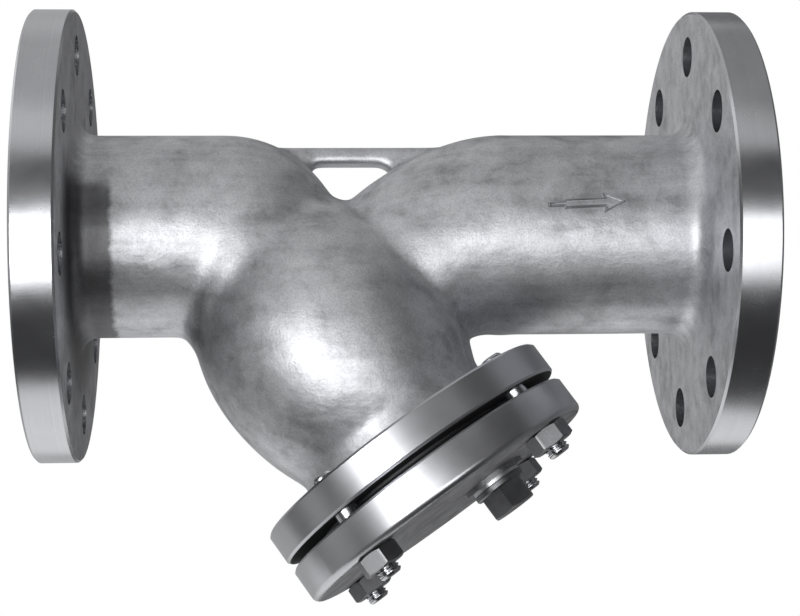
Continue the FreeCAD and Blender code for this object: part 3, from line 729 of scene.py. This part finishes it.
def grimy_casting(start):
    """The cast skin, with painted shade, near black, in the corner round raised marks."""
    skin = cast_skin(start)
    _, _, out = out_from_pipe(start, start.place())
    # Painted shade: the skin turns near black where the arrow rises from the tube.
    clean = out.between(TUBE_RADIUS, TUBE_RADIUS + ARROW_FLOOR * ARROW_RISE)
    return {**skin, "Base Color": start.blend(clean, (0.12, 0.12, 0.12), skin["Base Color"])}


arrow_mesh.materials.append(new_material("cast_steel_marks", grimy_casting, Metallic=1.0))
arrow = new_piece("flow_arrow", arrow_mesh)
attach(arrow, "root")


# Cover
# A turned stainless disc that closes the branch. Its rim and inner face are bright from
# the lathe; its outer face is left as cast.
COVER_OUTER = 0.1495
COVER_FLAT = 0.0690          # radius of its outer face, inside the rounded edge
FACE_REACH = 0.0005          # a face this near to the outer face belongs to it


def dark_casting(start):
    """The cast skin of the cover's outer face, darker all over and darker still in cloudy patches."""
    skin = cast_skin(start)
    smear = start.noise(start.place(), 70, 5, 0.6, 0.6).between(0.4, 0.62)
    return {**skin, "Base Color": start.blend(0.52 + 0.22 * smear, skin["Base Color"], DIRT)}


cover_shape = merged_copy("bonnet_cover")
crisp(cover_shape)
cover_mesh = bpy.data.meshes.new("cover_disc")
cover_shape.to_mesh(cover_mesh)
cover_shape.free()
cover = new_piece("cover_disc", cover_mesh)
cover_cast = new_material("cast_steel_dark", dark_casting, Metallic=1.0)
cover_finishes = (branch_turned, cover_cast, joint_dull)
cover.data.materials.clear()
for finish in cover_finishes:
    cover.data.materials.append(finish)
for face in cover.data.polygons:
    down, out = branch_position(face.center)
    if down > COVER_OUTER - FACE_REACH and out < COVER_FLAT:
        face.material_index = cover_finishes.index(cover_cast)
    elif in_joint(face):
        face.material_index = cover_finishes.index(joint_dull)
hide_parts("bonnet_cover")
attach(cover, "cover")


# Cover gasket
# A flat ring cut from graphite sheet. It is clamped between the raised rings of the bonnet
# flange and the cover.
def graphite(start):
    flake = start.noise(start.place(), 800, 3)
    return {
        "Base Color": start.blend(flake, (0.018, 0.018, 0.019), (0.045, 0.045, 0.047)),
        "Roughness": 0.55 + flake * 0.2,
        "Normal": start.bump(flake, 0.3, 0.0001),
    }


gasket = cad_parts["cover_gasket"]
gasket.data.materials.clear()
gasket.data.materials.append(new_material("gasket_graphite", graphite))


# Studs
# Four M10 stainless studs, screwed into the bonnet flange from the cover's side. Each has
# a rolled thread where its nut runs and a plain shank where it crosses the joint.
STUD_RADIUS = 0.0050
STUD_FROM = 0.1120
STUD_TO = 0.1617
STUD_POINT = 0.0010
STUD_THREAD_FROM = 0.1470
THREAD_PITCH = 0.0015
THREAD_DEPTH = 0.00075
THREAD_ROWS = 8              # rows of points in one pitch
STUD_STEPS = 40              # points in one row, all the way round


def branch_point(down, over=0.0, across=0.0):
    return BRANCH_FOOT + DOWN_BRANCH * down + OVER_BRANCH * over + ACROSS * across


def turned_form(name, rows, steps, closed_ring):
    """A shape round the branch axis; each row gives radius and height at an angle."""
    shape = bmesh.new()
    rings = []
    for row in rows:
        ring = []
        for step in range(steps):
            angle = 2 * math.pi * step / steps
            radius, height = row(angle)
            ring.append(shape.verts.new(branch_point(
                height, radius * math.cos(angle), radius * math.sin(angle))))
        rings.append(ring)
    pairs = list(zip(rings, rings[1:]))
    if closed_ring:
        pairs.append((rings[-1], rings[0]))
    for low, high in pairs:
        for step in range(steps):
            after = (step + 1) % steps
            shape.faces.new((low[step], low[after], high[after], high[step]))
    bmesh.ops.remove_doubles(shape, verts=shape.verts, dist=1e-7)
    bmesh.ops.recalc_face_normals(shape, faces=shape.faces)
    crisp(shape)
    mesh = bpy.data.meshes.new(name)
    shape.to_mesh(mesh)
    shape.free()
    return mesh


def plain(radius, height):
    return lambda angle: (radius, height)


def thread_rows(crest, depth, pitch, low, high):
    """A rolled thread: its crest climbs one pitch in a turn and runs out at both ends."""
    rows = []
    count = int((high - low) / pitch * THREAD_ROWS)
    for number in range(count + 1):
        height = low + (high - low) * number / count
        run_out = min(1, (height - low) / pitch, (high - height) / (0.5 * pitch))

        def at(angle, height=height, run_out=run_out):
            turn = (height / pitch - angle / (2 * math.pi)) % 1
            groove = 0.5 - 0.5 * math.cos(2 * math.pi * turn)
            return crest - depth * run_out * groove, height
        rows.append(at)
    return rows


def steel_finish(level, roughness):
    """Small steel pieces: finely grained, and clouded where they have been handled."""
    def finish(start):
        place = start.place()
        handled = start.noise(place, 260, 4, 0.6)
        return {
            "Base Color": start.blend(handled, steel_grey(level * 0.7), steel_grey(level * 1.2)),
            "Roughness": roughness - 0.05 + handled * 0.1,
            "Normal": start.bump(start.noise(place, 1800), 0.2, 0.0001),
        }
    return finish


stud_steel = new_material(
    "stud_steel", steel_finish(level=0.55, roughness=0.26), Metallic=1.0)
stud_rows = [plain(0, STUD_FROM), plain(STUD_RADIUS - STUD_POINT, STUD_FROM),
             plain(STUD_RADIUS, STUD_FROM + STUD_POINT)]
stud_rows += thread_rows(STUD_RADIUS, THREAD_DEPTH, THREAD_PITCH, STUD_THREAD_FROM,
                         STUD_TO - STUD_POINT)
stud_rows += [plain(STUD_RADIUS - STUD_POINT, STUD_TO), plain(0, STUD_TO)]
one_stud = new_piece("one_stud", turned_form("one_stud", stud_rows, STUD_STEPS, False))


def new_tree(name, inputs):
    """A Geometry Nodes tree with named sizes, and the socket identifier of each."""
    tree = bpy.data.node_groups.new(name, "GeometryNodeTree")
    tree.interface.new_socket("Geometry", in_out="OUTPUT", socket_type="NodeSocketGeometry")
    identifiers = {}
    for label, kind in inputs.items():
        socket = tree.interface.new_socket(label, in_out="INPUT", socket_type=kind)
        identifiers[label] = socket.identifier
    return tree, identifiers


def grow(name, tree, identifiers, values):
    """Run a tree on an empty mesh and keep the plain mesh that it makes."""
    piece = new_piece(name, bpy.data.meshes.new(name))
    modifier = piece.modifiers.new("grow", "NODES")
    modifier.node_group = tree
    for label, value in values.items():
        modifier[identifiers[label]] = value
    settle(piece)
    return piece


def way_along(start, *ways):
    """Where one gets from the origin by going some distance along each of some directions."""
    reached = None
    for direction, distance in ways:
        step = start.out(start.add("ShaderNodeVectorMath", {"operation": "SCALE"},
                                   _0=direction, Scale=distance))
        reached = step if reached is None else start.vector("ADD", reached, step)
    return reached


stud_tree, stud_inputs = new_tree("stud_ring", {
    "Stud": "NodeSocketObject", "Count": "NodeSocketInt", "Circle": "NodeSocketFloat",
    "First Angle": "NodeSocketFloat", "Steel": "NodeSocketMaterial"})
start = Value(stud_tree, None)
given = stud_tree.nodes.new("NodeGroupInput")
stud_object = start.add("GeometryNodeObjectInfo", Object=start.out(given, "Stud"))
points = start.add("GeometryNodePoints", Count=start.out(given, "Count"))
turn = start.out(start.add("GeometryNodeInputIndex")) / start.out(given, "Count")
angle = turn * (2 * math.pi) + start.out(given, "First Angle")
over = start.math("COSINE", angle) * start.out(given, "Circle")
across = start.math("SINE", angle) * start.out(given, "Circle")
placed = start.add("GeometryNodeSetPosition", Geometry=start.out(points),
                   Position=way_along(start, (OVER_BRANCH, over), (ACROSS, across)))
copies = start.add("GeometryNodeInstanceOnPoints", Points=start.out(placed),
                   Instance=start.out(stud_object, "Geometry"))
real = start.add("GeometryNodeRealizeInstances", Geometry=start.out(copies))
finished = start.add("GeometryNodeSetMaterial", Geometry=start.out(real),
                     Material=start.out(given, "Steel"))
start.add("NodeGroupOutput", Geometry=start.out(finished))
STUD_CIRCLE = 0.0610
studs = grow("cover_studs", stud_tree, stud_inputs, {
    "Stud": one_stud, "Count": 4, "Circle": STUD_CIRCLE, "First Angle": math.radians(45),
    "Steel": stud_steel})
bpy.data.objects.remove(one_stud)
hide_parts("cover_stud_1", "cover_stud_2", "cover_stud_3", "cover_stud_4")
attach(studs, "root")


# Nuts
# M10 hexagon nuts, chamfered on both faces, dark from the forge and from handling. No two
# stopped at the same angle when they were tightened.
NUT_FLATS = 0.0170
NUT_HEIGHT = 0.0080
NUT_FOOT = COVER_OUTER + 0.0001
NUT_TOP = COVER_OUTER + NUT_HEIGHT
NUT_BORE = 0.0051
NUT_COUNTERSINK = 0.0007
HEX_CHAMFER = math.tan(math.radians(28))
HEX_FACE = 0.97              # the round face left by the chamfer, as a share of the flats
HEX_STEPS = 96               # points in one row, all the way round


def hexagon(flats, angle):
    """Distance from the centre to a hexagon's side at an angle."""
    sixth = math.pi / 3
    return flats / 2 / math.cos((angle + sixth / 2) % sixth - sixth / 2)


def hex_rows(flats, low, high, turn, chamfer_low=True):
    """The side of a hexagon, its corners cut back by a cone at the top and at the foot."""
    face = flats / 2 * HEX_FACE

    def full(angle):
        return hexagon(flats, angle - turn)

    def drop(angle):
        return (full(angle) - face) * HEX_CHAMFER

    foot = [lambda angle: (full(angle), low)]
    if chamfer_low:
        foot = [plain(face, low), lambda angle: (full(angle), low + drop(angle))]
    return foot + [lambda angle: (full(angle), high - drop(angle)), plain(face, high)]


nut_steel = new_material(
    "nut_steel", steel_finish(level=0.22, roughness=0.44), Metallic=1.0)
nut_turns = {"cover_nut_1": 30, "cover_nut_2": 20, "cover_nut_3": 3, "cover_nut_4": 33}
for name, degrees in nut_turns.items():
    low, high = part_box(name)
    middle = (Vector(low) + Vector(high)) / 2 - BRANCH_FOOT
    rows = hex_rows(NUT_FLATS, NUT_FOOT, NUT_TOP, math.radians(degrees))
    rows += [plain(NUT_BORE + NUT_COUNTERSINK, NUT_TOP),
             plain(NUT_BORE, NUT_TOP - NUT_COUNTERSINK),
             plain(NUT_BORE, NUT_FOOT + NUT_COUNTERSINK),
             plain(NUT_BORE + NUT_COUNTERSINK, NUT_FOOT)]
    nut_mesh = turned_form(name.replace("cover", "hex"), rows, HEX_STEPS, True)
    beside = middle - DOWN_BRANCH * middle.dot(DOWN_BRANCH)
    nut_mesh.transform(Matrix.Translation(beside))
    nut = new_piece(name.replace("cover", "hex"), nut_mesh)
    nut_mesh.materials.append(nut_steel)
    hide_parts(name)
    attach(nut, name.replace("cover_", ""))


# Drain plug
# A collared hexagon plug, forged and turned, with a fine pipe thread below its collar. It is
# screwed into a boss on the cover.
PLUG_OVER = 0.0230
PLUG_COLLAR_FOOT = 0.1530
PLUG_COLLAR_TOP = 0.1560
PLUG_TOP = 0.1665
PLUG_COLLAR = 0.0120
PLUG_COLLAR_EDGE = 0.0004    # chamfer at the collar's foot, and half as much more on top
PLUG_FLATS = 0.0190
PLUG_THREAD = 0.0083
PLUG_PITCH = 0.0014
PLUG_THREAD_DEPTH = 0.0009
PLUG_THREAD_LENGTH = 0.0160
PLUG_RELIEF = 0.0010         # plain neck between the thread and the collar
PLUG_POINT = 0.0012
plug_foot = PLUG_COLLAR_FOOT - PLUG_THREAD_LENGTH
plug_neck = PLUG_THREAD - PLUG_THREAD_DEPTH
plug_rows = [plain(0, plug_foot), plain(PLUG_THREAD - PLUG_POINT, plug_foot),
             plain(PLUG_THREAD, plug_foot + PLUG_POINT)]
plug_rows += thread_rows(PLUG_THREAD, PLUG_THREAD_DEPTH, PLUG_PITCH, plug_foot + PLUG_PITCH,
                         PLUG_COLLAR_FOOT - 1.6 * PLUG_RELIEF)
plug_rows += [plain(plug_neck, PLUG_COLLAR_FOOT - PLUG_RELIEF),
              plain(plug_neck, PLUG_COLLAR_FOOT),
              plain(PLUG_COLLAR - PLUG_COLLAR_EDGE, PLUG_COLLAR_FOOT),
              plain(PLUG_COLLAR, PLUG_COLLAR_FOOT + PLUG_COLLAR_EDGE),
              plain(PLUG_COLLAR, PLUG_COLLAR_TOP - 1.5 * PLUG_COLLAR_EDGE),
              plain(PLUG_COLLAR - 1.5 * PLUG_COLLAR_EDGE, PLUG_COLLAR_TOP)]
plug_rows += hex_rows(PLUG_FLATS, PLUG_COLLAR_TOP, PLUG_TOP, math.radians(45),
                      chamfer_low=False)
plug_rows += [plain(0, PLUG_TOP)]
plug_mesh = turned_form("hex_drain_plug", plug_rows, HEX_STEPS, False)
plug_mesh.transform(Matrix.Translation(OVER_BRANCH * PLUG_OVER))
plug_mesh.materials.append(nut_steel)
plug = new_piece("hex_drain_plug", plug_mesh)
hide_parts("drain_plug")
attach(plug, "plug")


# Drain plug seal
# A ring of soft aluminium. The plug's collar presses it flat on the boss of the cover when
# the plug is tightened.
seal_aluminium = new_material(
    "seal_aluminium", steel_finish(level=0.72, roughness=0.38), Metallic=1.0)
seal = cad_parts["drain_plug_seal"]
seal.data.materials.clear()
seal.data.materials.append(seal_aluminium)


# Screen
# Stainless sheet punched with staggered round holes, rolled to a tube and spot-welded into
# two end rings. It stands in the body's seat and is held there by the cover.
SHEET_MIDDLE = 0.0355
SHEET_WALL = 0.0010
HOLES_AROUND = 56
HOLE_SHARE = 0.31            # a hole's radius as a share of the pitch
SCREEN_FROM = 0.0198
SCREEN_TO = 0.1347
PLAIN_BAND = 0.0062
screen_pitch = 2 * math.pi * SHEET_MIDDLE / HOLES_AROUND
row_pitch = screen_pitch * math.sqrt(3) / 2
screen_rows = int((SCREEN_TO - SCREEN_FROM - 2 * PLAIN_BAND) / row_pitch) + 2

CELL_POINTS = 12             # a hexagon's corners and the middles of its sides, in turn
cell_shape = bmesh.new()
cell_rings = []
for lift in (-SHEET_WALL / 2, SHEET_WALL / 2):
    hole, border = [], []
    for step in range(CELL_POINTS):
        angle = 2 * math.pi * (step + 1) / CELL_POINTS
        way = Vector((math.cos(angle), math.sin(angle), 0))
        reach = screen_pitch / 2 if step % 2 else screen_pitch / math.sqrt(3)
        rise = Vector((0, 0, lift))
        hole.append(cell_shape.verts.new(way * screen_pitch * HOLE_SHARE + rise))
        border.append(cell_shape.verts.new(way * reach + rise))
    cell_rings.append((hole, border))
(hole_in, border_in), (hole_out, border_out) = cell_rings
for step in range(CELL_POINTS):
    after = (step + 1) % CELL_POINTS
    cell_shape.faces.new((hole_out[step], border_out[step], border_out[after], hole_out[after]))
    cell_shape.faces.new((border_in[step], hole_in[step], hole_in[after], border_in[after]))
    cell_shape.faces.new((hole_in[step], hole_out[step], hole_out[after], hole_in[after]))
cell_mesh = bpy.data.meshes.new("screen_cell")
cell_shape.to_mesh(cell_mesh)
cell_shape.free()
cell = new_piece("screen_cell", cell_mesh)

screen_tree, screen_inputs = new_tree("punched_sheet", {
    "Cell": "NodeSocketObject", "Around": "NodeSocketInt", "Rows": "NodeSocketInt",
    "Pitch": "NodeSocketFloat", "Row Pitch": "NodeSocketFloat", "Radius": "NodeSocketFloat",
    "Start": "NodeSocketFloat", "Steel": "NodeSocketMaterial"})
start = Value(screen_tree, None)
given = screen_tree.nodes.new("NodeGroupInput")
around, pitch = start.out(given, "Around"), start.out(given, "Pitch")
points = start.add("GeometryNodePoints", Count=around * start.out(given, "Rows"))
index = start.out(start.add("GeometryNodeInputIndex"))
row = start.math("FLOOR", (index + 0.5) / around)
column = index - row * around
shift = start.math("MODULO", row, 2.0) * 0.5
flat_place = start.add("ShaderNodeCombineXYZ", X=(column + shift) * pitch,
                       Y=row * start.out(given, "Row Pitch"))
placed = start.add("GeometryNodeSetPosition", Geometry=start.out(points),
                   Position=start.out(flat_place))
cell_object = start.add("GeometryNodeObjectInfo", Object=start.out(given, "Cell"))
copies = start.add("GeometryNodeInstanceOnPoints", Points=start.out(placed),
                   Instance=start.out(cell_object, "Geometry"))
real = start.add("GeometryNodeRealizeInstances", Geometry=start.out(copies))
flat_place = start.out(start.add("GeometryNodeInputPosition"))
flat_spot = start.add("ShaderNodeSeparateXYZ", Vector=flat_place)
turn = start.out(flat_spot, "X") / start.out(given, "Radius")
out = start.out(flat_spot, "Z") + start.out(given, "Radius")
down = start.out(flat_spot, "Y") + start.out(given, "Start")
rolled = start.vector("ADD", BRANCH_FOOT, way_along(
    start, (OVER_BRANCH, start.math("COSINE", turn) * out),
    (ACROSS, start.math("SINE", turn) * out), (DOWN_BRANCH, down)))
tube = start.add("GeometryNodeSetPosition", Geometry=start.out(real), Position=rolled)
welded = start.add("GeometryNodeMergeByDistance", Geometry=start.out(tube), Distance=1e-5)
finished = start.add("GeometryNodeSetMaterial", Geometry=start.out(welded),
                     Material=start.out(given, "Steel"))
start.add("NodeGroupOutput", Geometry=start.out(finished))
screen_steel = new_material(
    "screen_steel", steel_finish(level=0.55, roughness=0.32), Metallic=1.0)
screen = grow("punched_screen", screen_tree, screen_inputs, {
    "Cell": cell, "Around": HOLES_AROUND, "Rows": screen_rows, "Pitch": screen_pitch,
    "Row Pitch": row_pitch, "Radius": SHEET_MIDDLE,
    "Start": (SCREEN_FROM + SCREEN_TO - (screen_rows - 1) * row_pitch) / 2,
    "Steel": screen_steel})
bpy.data.objects.remove(cell)
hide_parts("screen_basket")
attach(screen, "screen")

BAND_WALL = 1.06 * SHEET_WALL    # the plain bands cover the sheet's own edge
band_wall = (SHEET_MIDDLE - BAND_WALL / 2, SHEET_MIDDLE + BAND_WALL / 2)
for name, foot, top in (("screen_foot_band", SCREEN_FROM, SCREEN_FROM + PLAIN_BAND),
                        ("screen_top_band", SCREEN_TO - PLAIN_BAND, SCREEN_TO)):
    band = new_piece(name, turned_form(name, [
        plain(band_wall[0], foot), plain(band_wall[1], foot),
        plain(band_wall[1], top), plain(band_wall[0], top)], 2 * HOLES_AROUND, True))
    band.data.materials.append(screen_steel)
    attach(band, "screen")
for name in ("screen_top_ring", "screen_base_ring"):
    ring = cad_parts[name]
    ring.data.materials.clear()
    ring.data.materials.append(branch_turned)
